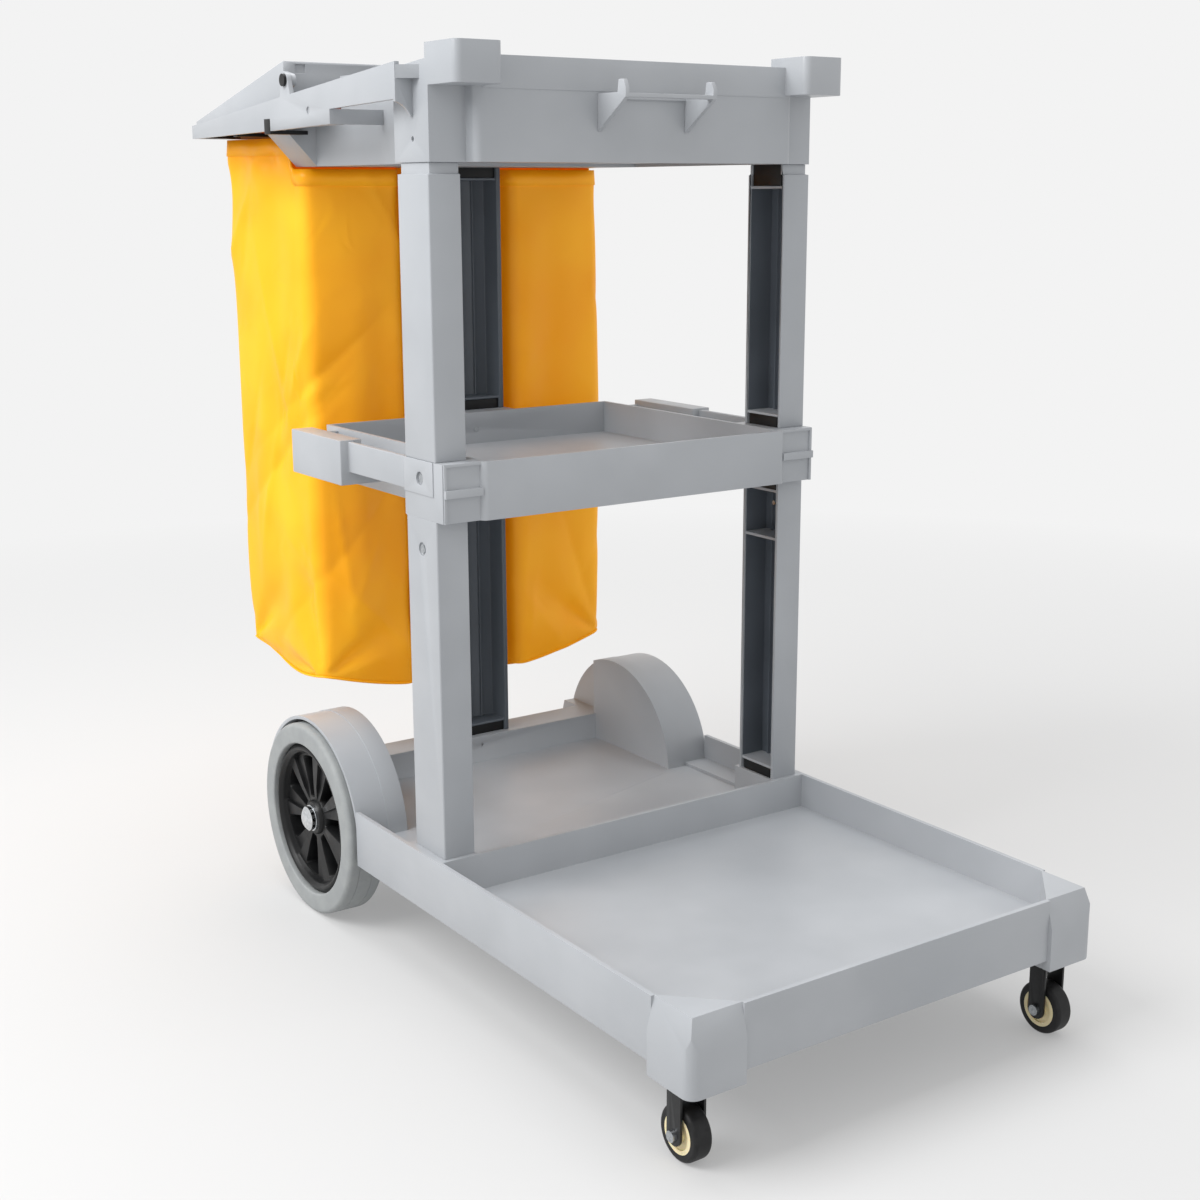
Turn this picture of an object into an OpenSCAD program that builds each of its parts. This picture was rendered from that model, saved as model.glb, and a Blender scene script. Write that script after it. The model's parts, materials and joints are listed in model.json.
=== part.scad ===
// Housekeeping cart: moulded platform, three uprights, two trays and a lidded waste bag.
// +X is the cart's right, -Y its front, +Z up. The origin is on the floor below its middle.

/* [Overall] */
// Length from the front bumpers to the tips of the bag arms
overall_len = 981; // [900:1:1200]
// Width of the platform over its side walls
base_w = 504; // [440:1:620]
// Length of the platform from its front wall to its back edge
base_len = 828; // [780:1:860]
// Length of the open deck in front of the divider
deck_len = 432; // [340:1:520]
// Free height between the platform rim and the middle tray
lower_gap = 360; // [280:1:440]
// Free height between the middle tray and the top tray
upper_gap = 291; // [240:1:360]

/* [Platform] */
// Thickness of the moulded walls
wall_t = 5; // [4:0.5:6]
// Thickness of the front deck
deck_t = 5; // [4:0.5:7]
// Thickness of the floor over the axle
rear_floor_t = 3.5; // [3:0.5:4]
// Height of the rim above the front deck
rim_h = 40; // [32:1:52]
// Height of the platform's side walls
wall_h = 64; // [58:1:76]
// Side of the square front corner blocks
block_w = 58; // [54:1:70]
// How far the corner blocks stand proud of the walls
block_out = 4.5; // [3:0.5:8]
// How far the corner blocks hang below the walls
block_drop = 10.5; // [8:0.5:14]
// Width of a wheel housing, inwards from the side wall
arch_w = 64; // [58:1:72]
// Depth of the ledge that carries the rear upright
ledge_d = 45; // [42:1:56]

/* [Uprights] */
// Width of a front upright, across the cart
post_w = 36; // [32:1:44]
// Depth of a front upright, along the cart
post_d = 62; // [54:1:70]
// Wall of the uprights
post_t = 3.5; // [3:0.25:5]
// Width of the rear upright
rear_post_w = 112; // [96:1:134]
// Depth of the rear upright
rear_post_d = 34; // [30:1:38]
// Height of the black plug that shows at the end of an upright
plug_show = 12; // [8:1:16]
// Depth of a plug's socket in a tray
plug_in = 8; // [5:1:10]

/* [Trays] */
// Height of the middle tray
mid_h = 60; // [52:1:72]
// Depth of the middle tray's pan
mid_depth = 38; // [30:1:44]
// Height of the top tray's front panel
top_h = 100; // [88:1:116]
// Depth of the top tray's pan
top_depth = 92; // [74:1:96]
// Distance from the front upright's outer face in to a tray's side wall
tray_in = 44.5; // [40:1:52]
// How far the front panels stand proud of the uprights
panel_out = 19.5; // [16:0.5:24]
// Thickness of the tray walls
tray_t = 4; // [3:0.5:5]

/* [Arms and lid] */
// Thickness of an arm
arm_t = 5; // [4:0.5:7]
// How far the arms stand outside the front uprights
arm_out = 17.5; // [14:0.5:24]
// Length of the lid
lid_len = 250; // [200:1:254]
// Thickness of the lid
lid_t = 3; // [2.5:0.5:4]
// Diameter of the lid's hinge pins
hinge_d = 6; // [5:0.5:8]

/* [Rear wheels] */
// Diameter of the rear wheels
wheel_d = 230; // [210:1:240]
// Width of the rear tyres
wheel_w = 46; // [38:1:48]
// Diameter of the axle
axle_d = 10; // [8:1:12]
// Number of blades in a hub
blades = 7; // [5:1:9]

/* [Castors] */
// Diameter of a castor wheel
castor_d = 54; // [48:1:58]
// Width of a castor's tread
castor_w = 20; // [16:1:22]
// Distance from the swivel's centre to the castor's axle
trail = 8; // [5:0.5:12]
// Diameter of a castor's axle bolt
bolt_d = 6; // [5:0.5:8]

/* [Bag] */
// Thickness of the bag's material in the model
bag_t = 3; // [2:0.5:4]
// Height of the bag's lowest point above the floor
bag_z = 236; // [210:1:300]

/* [Fits] */
// Radial clearance of a wheel on its axle
run_gap = 0.06; // [0.03:0.01:0.1]
// Gap between parts that pass one another
side_gap = 0.4; // [0.3:0.1:0.8]
// Gap between a plug and the channel round it
plug_gap = 0.2; // [0.1:0.05:0.4]

/* [Hidden] */
$fn = 96;

plastic = "#a3a7ab";
black = "#1c1c1d";
steel = "#c9ccce";

// Heights, worked up from the floor
axle_z = wheel_d / 2;
axle_cover = 0.5;
deck_step = 6;
rear_floor_z = axle_z + axle_d / 2 + axle_cover + rear_floor_t;
deck_z = rear_floor_z - deck_step;
rim_z = deck_z + rim_h;
wall_z = rim_z - wall_h;
block_z = wall_z - block_drop;
mid_z = rim_z + lower_gap;
mid_top = mid_z + mid_h;
top_z = mid_top + upper_gap;
top_rim = top_z + top_h;
cap_top = top_rim + 10;

// Places along the cart
front_y = -overall_len / 2 + block_out;
nose_y = overall_len / 2;
divider_y = front_y + deck_len;
post_y = divider_y + wall_t + 0.5;
base_back = front_y + base_len;
ledge_y = base_back - ledge_d;
rear_post_y = base_back - rear_post_d - 3;
wheel_y = base_back - 85;
panel_y = post_y - panel_out;
mid_back = rear_post_y - 19;
lid_front = nose_y - lid_len;
hinge_y = lid_front - 13;
bin_back = hinge_y - 12;

// Places across the cart
half_w = base_w / 2;
post_x = half_w - 10.5;
tray_x = post_x - tray_in;
arm_x = post_x + arm_out;
wheel_face = half_w + 6;
wheel_in = wheel_face - wheel_w;

// Height of the arms' top edge at a distance y along the cart
arm_slope = 0.085;
function arm_top(y) = top_rim - 4 - arm_slope * (y - post_y);

// Wheel housings
arch_gap = 4;
arch_step = 0.8;
arch_step_w = 24;
arch_t = 4;
arch_r = axle_z + arch_gap + arch_t;
arch_back = wheel_in - 5;
arch_in = half_w - arch_w;

module mirror_x() {
  children();
  mirror([1, 0, 0]) children();
}

module box(x0, x1, y0, y1, z0, z1) {
  translate([x0, y0, z0]) cube([x1 - x0, y1 - y0, z1 - z0]);
}

// A rounded rectangle seen from above
module round_rect(x0, x1, y0, y1, r) {
  difference() {
    translate([x0, y0]) square([x1 - x0, y1 - y0]);
    for (i = [0, 1], j = [0, 1])
      translate([i ? x1 - r : x0 + r, j ? y1 - r : y0 + r])
        difference() {
          translate([i ? 0 : -r - 1, j ? 0 : -r - 1]) square(r + 1);
          circle(r);
        }
  }
}

// An outline in the Y-Z plane made into a plate between x0 and x1
module side_plate(x0, x1, points) {
  translate([x0, 0, 0]) rotate([90, 0, 90]) linear_extrude(x1 - x0) polygon(points);
}

// An outline in the X-Z plane made into a plate between y0 and y1
module cross_plate(y0, y1, points) {
  translate([0, y1, 0]) rotate([90, 0, 0]) linear_extrude(y1 - y0) polygon(points);
}

module rod_x(x0, x1, y, z, r) {
  translate([x0, y, z]) rotate([0, 90, 0]) cylinder(h = x1 - x0, r = r);
}

// ---- platform ----

// One front corner block: upright lower half, upper half leaning in to the rim
block_mid = rim_z - 30;
block_lean = 3.5;
block_profile = [[-block_lean, rim_z], [block_out, block_mid], [block_out, block_z], [-block_w, block_z], [-block_w, rim_z]];
module corner_block() {
  intersection() {
    translate([half_w, 0, 0]) cross_plate(front_y - 20, front_y + block_w, block_profile);
    side_plate(half_w - block_w, half_w + 20,
      [for (p = block_profile) [front_y - p[0], p[1]]]);
    linear_extrude(rim_z) round_rect(half_w - block_w - 20, half_w + block_out,
      front_y - block_out, front_y + block_w + 20, 12);
    linear_extrude(rim_z) polygon([[half_w + 20, front_y - 20], [half_w - block_w, front_y - 20],
      [half_w - block_w, front_y + wall_t], [half_w - wall_t, front_y + block_w], [half_w + 20, front_y + block_w]]);
  }
}

// What the lean of a corner block takes off the walls it stands in
block_cut = [[-block_lean, rim_z], [block_out, block_mid], [block_out + 5, block_mid], [block_out + 5, rim_z + 1],
  [-block_lean, rim_z + 1]];
module block_lean_cut() {
  translate([half_w, 0, 0]) cross_plate(front_y - 20, front_y + block_w, block_cut);
  side_plate(half_w - block_w, half_w + 20, [for (p = block_cut) [front_y - p[0], p[1]]]);
}

// The foot of the corner block below the deck, where the castor is screwed
module castor_foot() {
  linear_extrude(deck_z - block_z) round_rect(half_w - block_w, half_w - 1, front_y + 1, front_y + block_w, 8);
}

castor_x = half_w - 27;
castor_y = front_y + 33;
castor_screw_pitch = 30;
castor_screw_d = 4;
module castor_screw_places() {
  for (i = [-1, 1], j = [-1, 1])
    translate([castor_x + i * castor_screw_pitch / 2, castor_y + j * castor_screw_pitch / 2, 0]) children();
}

// Housing of a rear wheel: a half-round roof and the wall between wheel and cart
module arch() {
  difference() {
    union() {
      rod_x(arch_in, half_w - 2, wheel_y, axle_z, arch_r);
      // Step in the roof where the two halves of the mould meet
      rod_x(arch_in, arch_in + arch_step_w, wheel_y, axle_z, arch_r + arch_step);
    }
    rod_x(arch_back, half_w, wheel_y, axle_z, arch_r - arch_t);
    box(arch_in - 1, half_w, wheel_y - 2 * arch_r, wheel_y + 2 * arch_r, -arch_r, wall_z);
    box(arch_back, half_w, wheel_y - 2 * arch_r, wheel_y + 2 * arch_r, -arch_r, axle_z);
    // The housing is narrower behind the ledge
    box(arch_in - 1, arch_back - arch_t, ledge_y + wall_t, wheel_y + 2 * arch_r, rim_z, 2 * arch_r + rim_z);
    box(arch_in - 1, half_w, base_back, wheel_y + 2 * arch_r, -arch_r, axle_z + 22);
  }
}

pedestal_in = post_x - post_w - 2;
pedestal_back = post_y + post_d + 6;
side_ledge_z = rear_floor_z + 4;
underside_ribs = [-140, -70, 0, 70, 140];

module platform_walls() {
  mirror_x() {
    box(half_w - wall_t, half_w, front_y, wheel_y - arch_r + 2, wall_z, rim_z);
    corner_block();
    translate([0, 0, block_z]) castor_foot();
    // Pedestal of the front upright
    box(pedestal_in, half_w - wall_t + 0.1, divider_y, pedestal_back, deck_z - deck_t, rim_z);
    // Step along the wall between the pedestal and the wheel housing
    box(post_x - 26, half_w - wall_t + 0.1, pedestal_back - 1, wheel_y - arch_r + 6, deck_z - deck_t, side_ledge_z);
    arch();
  }
  box(-half_w, half_w, front_y, front_y + wall_t, wall_z, rim_z);
  box(-half_w + 1, half_w - 1, divider_y, divider_y + wall_t, wall_z, rim_z);
}

module platform_floor() {
  box(-half_w + 1, half_w - 1, front_y + 1, divider_y + 1, deck_z - deck_t, deck_z);
  // Rear floor, narrower beside the wheels
  box(-half_w + 1, half_w - 1, divider_y + 1, wheel_y - arch_r + 4, rear_floor_z - rear_floor_t, rear_floor_z);
  box(-arch_in - 1, arch_in + 1, divider_y + 1, base_back - 1, rear_floor_z - rear_floor_t, rear_floor_z);
  box(-half_w + 1, half_w - 1, wheel_y - arch_r - 2, wheel_y - arch_r + 3, wall_z, rear_floor_z);
}

// Hollow ledge along the back, solid where the upright stands
module rear_ledge() {
  box(-arch_in - 1, arch_in + 1, ledge_y, ledge_y + wall_t, rear_floor_z - 1, rim_z);
  box(-arch_in - 1, arch_in + 1, base_back - wall_t, base_back, wall_z, rim_z);
  box(-arch_in - 1, arch_in + 1, ledge_y, base_back, rim_z - wall_t, rim_z);
  box(-rear_post_w / 2 - 4, rear_post_w / 2 + 4, ledge_y, base_back, rear_floor_z - 1, rim_z);
}

module platform_ribs() {
  for (x = underside_ribs)
    box(x - 1.5, x + 1.5, front_y + 1, base_back - 1, wall_z + 2, deck_z - deck_t + 1);
  for (x = underside_ribs)
    box(x - 1.5, x + 1.5, divider_y + 1, base_back - 1, wall_z + 2, rear_floor_z - rear_floor_t + 1);
  for (k = [1, 2])
    box(-half_w + 1, half_w - 1, front_y + k * deck_len / 3, front_y + k * deck_len / 3 + 3, wall_z + 6, deck_z - 1);
}

module base_platform() {
  color(plastic) difference() {
    union() {
      platform_walls();
      platform_floor();
      rear_ledge();
      platform_ribs();
    }
    // Axle bores through the housing walls and the ribs
    rod_x(-arch_back - 2, arch_back + 2, wheel_y, axle_z, axle_d / 2);
    mirror_x() castor_screw_places()
      translate([0, 0, block_z - 1]) cylinder(h = 17, d = castor_screw_d);
    mirror_x() translate([castor_x, castor_y, block_z - 1]) cylinder(h = 8, d = kingpin_head_d + 2);
    front_plug_places() plug_hole(rim_z, -1);
    rear_plug_hole(rim_z, -1);
    mirror_x() block_lean_cut();
    // Sighting dimple for the ledge screw
    translate([10, ledge_y + 2, rim_z - 11]) rotate([90, 0, 0]) cylinder(h = 5, d = 5);
  }
}

// ---- rear wheels ----

cap_r = 14.5;
cap_bore = 4;
hub_r = wheel_d / 2 * 0.79;
boss_r = 19;
washer_t = 2;
hub_face = wheel_face - 3;
hub_back = arch_back + washer_t + side_gap;

module rear_axle() {
  color(steel) rod_x(-hub_face - cap_bore, hub_face + cap_bore, wheel_y, axle_z, axle_d / 2);
}

// Domed push-on caps that hold the wheels on the axle
dome_r = 22;
dome_sink = 10;
module cap_half() {
  intersection() {
    translate([0, -dome_sink]) circle(dome_r);
    square([cap_r, dome_r]);
  }
  translate([0, side_gap - 1]) square([cap_r + 1, 2]);
}
module axle_caps() {
  color(steel) mirror_x() difference() {
    translate([hub_face - 5, wheel_y, axle_z]) rotate([0, 90, 0]) rotate_extrude() cap_half();
    rod_x(0, hub_face + cap_bore, wheel_y, axle_z, axle_d / 2);
  }
}

module axle_washers() {
  color(steel) mirror_x() difference() {
    rod_x(arch_back, arch_back + washer_t, wheel_y, axle_z, 11);
    rod_x(0, half_w, wheel_y, axle_z, axle_d / 2);
  }
}

// One window between two blades, widening towards the rim
module hub_window() {
  rotate(360 / blades / 2)
    intersection() {
      difference() {
        circle(hub_r - 16);
        circle(boss_r + 5);
      }
      polygon([[0, 0], [hub_r, -hub_r * 0.2], [hub_r * 1.1, 0], [hub_r, hub_r * 0.2]]);
    }
}

module wheel_hub() {
  color(black) difference() {
    union() {
      // Rim
      difference() {
        rod_x(wheel_in + 2, wheel_face - 2, wheel_y, axle_z, hub_r);
        rod_x(wheel_in, wheel_face, wheel_y, axle_z, hub_r - 6);
      }
      // Bead round the face of the rim
      difference() {
        rod_x(wheel_face - 8, wheel_face - 4, wheel_y, axle_z, hub_r - 1);
        rod_x(wheel_face - 9, wheel_face, wheel_y, axle_z, hub_r - 12);
      }
      // Bladed web
      translate([wheel_face - 22, wheel_y, axle_z]) rotate([90, 0, 90])
        linear_extrude(6) difference() {
          circle(hub_r - 1);
          for (k = [0 : blades - 1]) rotate(k * 360 / blades) hub_window();
        }
      // Ribs along the blades
      translate([wheel_face - 17, wheel_y, axle_z]) rotate([90, 0, 90])
        linear_extrude(7) for (k = [0 : blades - 1]) rotate(k * 360 / blades)
          translate([boss_r - 2, -1.5]) square([hub_r - boss_r - 3, 3]);
      // Boss
      rod_x(hub_back, hub_face - 6, wheel_y, axle_z, boss_r);
    }
    rod_x(0, wheel_face + 5, wheel_y, axle_z, axle_d / 2 + run_gap);
  }
}

// Tyre with rounded shoulders, turned about the axle
module wheel_tyre() {
  shoulder = 5;
  r = wheel_d / 2;
  color("#b4b6b6") translate([0, wheel_y, axle_z]) rotate([0, 90, 0])
    rotate_extrude($fn = 128) difference() {
      translate([hub_r, wheel_in]) square([r - hub_r, wheel_w]);
      for (s = [0, 1]) translate([r - shoulder, s ? wheel_face - shoulder : wheel_in + shoulder])
        difference() {
          translate([0, s ? 0 : -shoulder - 1]) square(shoulder + 1);
          circle(shoulder);
        }
    }
}

module wheel_hub_right() wheel_hub();
module wheel_hub_left() mirror([1, 0, 0]) wheel_hub();
module wheel_tyre_right() wheel_tyre();
module wheel_tyre_left() mirror([1, 0, 0]) wheel_tyre();

// ---- castors ----

castor_z = castor_d / 2;
plate_t = 2.5;
plate_w = 42;
race_h = 5;
crown_top = block_z - plate_t - race_h - side_gap;
crown_t = 3.5;
kingpin_d = 8;
kingpin_head_d = 15;
leg_t = 2.5;
leg_in = castor_w / 2 + 2;
leg_out = leg_in + leg_t;

// Each castor is built about its swivel axis; way is 1 when it trails backwards
module castor_place(side) {
  translate([side * castor_x, castor_y, 0]) children();
}

module castor_plate() {
  color(black) difference() {
    union() {
      translate([0, 0, block_z - plate_t]) linear_extrude(plate_t)
        round_rect(-plate_w / 2, plate_w / 2, -plate_w / 2, plate_w / 2, 5);
      translate([0, 0, block_z - plate_t - race_h]) cylinder(h = race_h, d1 = 30, d2 = 34);
    }
    translate([0, 0, 0]) cylinder(h = block_z + 1, d = kingpin_d);
    for (i = [-1, 1], j = [-1, 1])
      translate([i * castor_screw_pitch / 2, j * castor_screw_pitch / 2, block_z - plate_t - 1])
        cylinder(h = plate_t + 2, d = castor_screw_d);
  }
}

// Brass rivet that the fork turns on
module castor_kingpin() {
  color("#c8a44a") {
    translate([0, 0, crown_top - crown_t - side_gap]) cylinder(h = block_z + 2 - crown_top + crown_t + side_gap, d = kingpin_d);
    translate([0, 0, block_z]) cylinder(h = 4, d = kingpin_head_d);
    translate([0, 0, crown_top - crown_t - side_gap - 3]) cylinder(h = 3, d1 = 8, d2 = kingpin_head_d);
  }
}

leg_half = 10;
crown_front = 13;
module castor_fork(way) {
  axle_y = way * trail;
  tip_y = way * (trail + leg_half);
  color(black) difference() {
    union() {
      translate([0, 0, crown_top - crown_t]) linear_extrude(crown_t)
        round_rect(-leg_out, leg_out, min(tip_y, -way * crown_front), max(tip_y, -way * crown_front), 5);
      for (s = [-1, 1]) {
        x0 = s > 0 ? leg_in : -leg_out;
        box(x0, x0 + leg_t, axle_y - leg_half, axle_y + leg_half, castor_z, crown_top - 0.5);
        rod_x(x0, x0 + leg_t, axle_y, castor_z, leg_half);
      }
    }
    cylinder(h = block_z, d = kingpin_d + 2 * run_gap);
    rod_x(-leg_out - 5, leg_out + 5, axle_y, castor_z, bolt_d / 2);
  }
}

module castor_bolt(way) {
  axle_y = way * trail;
  color(steel) {
    rod_x(-leg_out - 1, leg_out + 1, axle_y, castor_z, bolt_d / 2);
    rod_x(-leg_out - 4, -leg_out, axle_y, castor_z, 5.5);
    rod_x(leg_out, leg_out + 4, axle_y, castor_z, 5);
  }
}

hub_side = castor_w / 2 + 1.2;
module castor_hub(way) {
  axle_y = way * trail;
  color("#e8dcb8") difference() {
    union() {
      rod_x(-castor_w / 2 + 2, castor_w / 2 - 2, axle_y, castor_z, castor_d / 2 - 8);
      rod_x(-hub_side, hub_side, axle_y, castor_z, 8);
      difference() {
        rod_x(-castor_w / 2, castor_w / 2, axle_y, castor_z, castor_d / 2 - 8);
        rod_x(-castor_w, castor_w, axle_y, castor_z, castor_d / 2 - 12);
      }
    }
    rod_x(-castor_w, castor_w, axle_y, castor_z, bolt_d / 2 + run_gap);
  }
}

module castor_tyre(way) {
  r = castor_d / 2;
  edge = 4;
  color(black) translate([0, way * trail, castor_z]) rotate([0, 90, 0])
    rotate_extrude() difference() {
      translate([r - 8, -castor_w / 2]) square([8, castor_w]);
      for (s = [-1, 1]) translate([r - edge, s * (castor_w / 2 - edge)])
        difference() {
          translate([0, s > 0 ? 0 : -edge - 1]) square(edge + 1);
          circle(edge);
        }
    }
}

module castor_plate_left() castor_place(-1) castor_plate();
module castor_plate_right() castor_place(1) castor_plate();
module castor_kingpin_left() castor_place(-1) castor_kingpin();
module castor_kingpin_right() castor_place(1) castor_kingpin();
module castor_fork_left() castor_place(-1) castor_fork(1);
module castor_fork_right() castor_place(1) castor_fork(-1);
module castor_bolt_left() castor_place(-1) castor_bolt(1);
module castor_bolt_right() castor_place(1) castor_bolt(-1);
module castor_hub_left() castor_place(-1) castor_hub(1);
module castor_hub_right() castor_place(1) castor_hub(-1);
module castor_tyre_left() castor_place(-1) castor_tyre(1);
module castor_tyre_right() castor_place(1) castor_tyre(-1);

module castor_screws() {
  color(steel) mirror_x() castor_screw_places() {
    translate([0, 0, block_z - plate_t - 2]) cylinder(h = 2, d = 6.5);
    translate([0, 0, block_z - plate_t - 0.5]) cylinder(h = 15, d = castor_screw_d);
  }
}

// ---- uprights ----

// Channel of a front upright: closed outside, open towards the middle of the cart
module front_channel(z0, z1, inset = 0) {
  difference() {
    box(post_x - post_w, post_x - inset, post_y + inset, post_y + post_d - inset, z0, z1);
    box(post_x - post_w - 1, post_x - inset - post_t, post_y + inset + post_t,
      post_y + post_d - inset - post_t, z0 - 1, z1 + 1);
  }
}

rib_t = 3;
neck_h = 11;
neck_in = 3;
module front_rib(z) {
  box(post_x - post_w + 1, post_x - 1, post_y + 1, post_y + post_d - 1, z, z + rib_t);
}

module front_post(z0, z1, ribs, neck) {
  top = neck ? z1 - neck_h : z1;
  difference() {
    union() {
      front_channel(z0, top);
      if (neck) front_channel(top - 0.01, z1, neck_in);
      for (z = ribs) front_rib(z);
    }
    // Rounded outer corners of the channel
    for (y = [post_y, post_y + post_d])
      translate([post_x, y, z0 - 1]) rotate(45) cube([1.6, 1.6, 2 * (z1 - z0)], center = true);
  }
}

lower_ribs = [rim_z + plug_show, mid_z - plug_show - rib_t, mid_z - 71];
upper_ribs = [mid_top + plug_show, top_z - neck_h - plug_show - rib_t];
screw_hole_d = 14;
screw_y = post_y + post_d / 2;
low_screw_z = mid_z - 32;
high_screw_z = mid_top - 19;

module lower_front_post() {
  color(plastic) difference() {
    front_post(rim_z, mid_z, lower_ribs, false);
    rod_x(post_x - post_w - 1, post_x + 1, screw_y, low_screw_z, screw_shank_d / 2);
    rod_x(post_x - 2, post_x + 1, screw_y, low_screw_z, screw_hole_d / 2);
  }
}
module upper_front_post() {
  color(plastic) front_post(mid_top, top_z, upper_ribs, true);
}
module lower_post_right() lower_front_post();
module lower_post_left() mirror([1, 0, 0]) lower_front_post();
module upper_post_right() upper_front_post();
module upper_post_left() mirror([1, 0, 0]) upper_front_post();

// Rear upright: a wide channel, open to the front, with ribs down its back
module rear_post(z0, z1, ribs) {
  w = rear_post_w / 2;
  back = rear_post_y + rear_post_d;
  color(plastic) {
    difference() {
      box(-w, w, rear_post_y, back, z0, z1);
      box(-w + post_t + 2.5, w - post_t - 2.5, rear_post_y - 1, back - post_t, z0 - 1, z1 + 1);
    }
    for (k = [-2 : 2])
      box(k * 16 - 1, k * 16 + 1, back - post_t - 4, back - 1, z0 + plug_show + 1, z1 - plug_show - 1);
    for (z = ribs) box(-w + 1, w - 1, rear_post_y + 2, back - 1, z, z + rib_t);
  }
}
module lower_post_rear()
  rear_post(rim_z, mid_z, [rim_z + plug_show, mid_z - plug_show - rib_t]);
module upper_post_rear()
  rear_post(mid_top, top_z, [mid_top + plug_show, top_z - plug_show - rib_t]);

// Plugs: black blocks that fill a channel's end and enter the tray next to it
plug_x1 = post_x - post_t - neck_in - plug_gap;
plug_x0 = post_x - post_w + 1.5;
plug_y0 = post_y + post_t + neck_in + plug_gap;
plug_y1 = post_y + post_d - post_t - neck_in - plug_gap;
rear_plug_w = rear_post_w / 2 - post_t - 2.5 - plug_gap;

module front_plug_places() {
  mirror_x() children();
}
module plug_hole(z, way) {
  box(plug_x0, plug_x1, plug_y0, plug_y1, way > 0 ? z - 0.01 : z - plug_in, way > 0 ? z + plug_in : z + 0.01);
}
module rear_plug_hole(z, way) {
  box(-rear_plug_w, rear_plug_w, rear_post_y + 3, rear_post_y + rear_post_d - post_t - plug_gap,
    way > 0 ? z - 0.01 : z - plug_in, way > 0 ? z + plug_in : z + 0.01);
}
// way is 1 where the tray is above the upright's end
module plugs(z, way, show) {
  z0 = way > 0 ? z - show : z - plug_in;
  z1 = way > 0 ? z + plug_in : z + show;
  rear_show = plug_show;
  rz0 = way > 0 ? z - rear_show : z - plug_in;
  rz1 = way > 0 ? z + plug_in : z + rear_show;
  color(black) {
    mirror_x() box(plug_x0, plug_x1, plug_y0, plug_y1, z0, z1);
    box(-rear_plug_w, rear_plug_w, rear_post_y + 3, rear_post_y + rear_post_d - post_t - plug_gap, rz0, rz1);
  }
}
module plugs_base() plugs(rim_z, -1, plug_show);
module plugs_mid_low() plugs(mid_z, 1, plug_show);
module plugs_mid_high() plugs(mid_top, -1, plug_show);
module plugs_top() plugs(top_z, 1, plug_show + neck_h);

screw_shank_d = 5;
screw_head_d = 9;
module post_screws() {
  color(steel) mirror_x() for (p = [[low_screw_z, 2, 14], [high_screw_z, 2, 14]]) {
    rod_x(post_x - p[1] - p[2], post_x - p[1], screw_y, p[0], screw_shank_d / 2);
    rod_x(post_x - p[1], post_x - p[1] + 1.5, screw_y, p[0], screw_head_d / 2);
  }
}

// ---- middle tray ----

// A pan with an outward front panel and a corner socket at each front upright
module tray_pan(z0, z1, depth, back) {
  difference() {
    union() {
      box(-tray_x, tray_x, post_y, back, z1 - depth - tray_t, z1);
      mirror_x() box(tray_x - tray_t, tray_x, post_y, back, z0, z1);
      box(-tray_x, tray_x, back - tray_t, back, z0, z1);
    }
    box(-tray_x + tray_t, tray_x - tray_t, panel_y + tray_t, back - tray_t, z1 - depth, z1 + 1);
  }
}

// Front panel with rounded ends, standing proud of the corner sockets
panel_r = 8;
module front_panel(z0, z1, depth) {
  difference() {
    translate([0, 0, z0]) linear_extrude(z1 - z0) difference() {
      round_rect(-tray_x - 2, tray_x + 2, panel_y, post_y + 12, panel_r);
      translate([-tray_x - 3, post_y]) square([2 * tray_x + 6, 20]);
    }
    box(-tray_x + tray_t, tray_x - tray_t, panel_y + tray_t, post_y + 1, z1 - depth, z1 + 1);
    box(-tray_x + tray_t, tray_x - tray_t, panel_y + tray_t, post_y + 1, z0 - 1, z1 - depth - tray_t);
  }
}

socket_y = post_y - 14;
collar = 1;
bead_z = mid_z + 30;
module mid_socket() {
  // Block round the upright, its side face a little proud above the collar line
  box(tray_x - 0.5, post_x, socket_y, pedestal_back - 4, mid_z, mid_top);
  box(tray_x - 0.5, post_x + collar, post_y + 4, pedestal_back - 4, mid_z + 25, mid_top);
  // Raised frame and bead on the front of the block
  box(post_x - 4, post_x - 1, socket_y - 2, socket_y + 1, mid_z, mid_top);
  box(tray_x, post_x - 1, socket_y - 2, socket_y + 1, mid_top - 3, mid_top);
  box(tray_x, post_x - 1, socket_y - 5, socket_y + 1, bead_z - 4, bead_z + 4);
}

module middle_tray() {
  color(plastic) difference() {
    union() {
      tray_pan(mid_z, mid_top, mid_depth, mid_back);
      front_panel(mid_z, mid_top, mid_depth);
      mirror_x() mid_socket();
      // Socket of the rear upright
      box(-rear_post_w / 2 - 4, rear_post_w / 2 + 4, mid_back - 1, rear_post_y + rear_post_d, mid_z, mid_top);
    }
    front_plug_places() {
      plug_hole(mid_z, 1);
      plug_hole(mid_top, -1);
    }
    rear_plug_hole(mid_z, 1);
    rear_plug_hole(mid_top, -1);
    mirror_x() {
      rod_x(tray_x, post_x + 5, screw_y, high_screw_z, screw_shank_d / 2);
      rod_x(post_x - 2, post_x + 5, screw_y, high_screw_z, screw_hole_d / 2);
    }
    // Ring round a moulding point inside the back wall
    translate([2, mid_back - tray_t + 0.6, mid_top - 21]) rotate([90, 0, 0]) difference() {
      cylinder(h = 2, d = 8);
      translate([0, 0, -1]) cylinder(h = 4, d = 5);
    }
    // Recess that lightens the tray from below
    box(-tray_x + tray_t, tray_x - tray_t, post_y + 6, mid_back - tray_t, mid_z - 1, mid_top - mid_depth - tray_t);
  }
}

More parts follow.
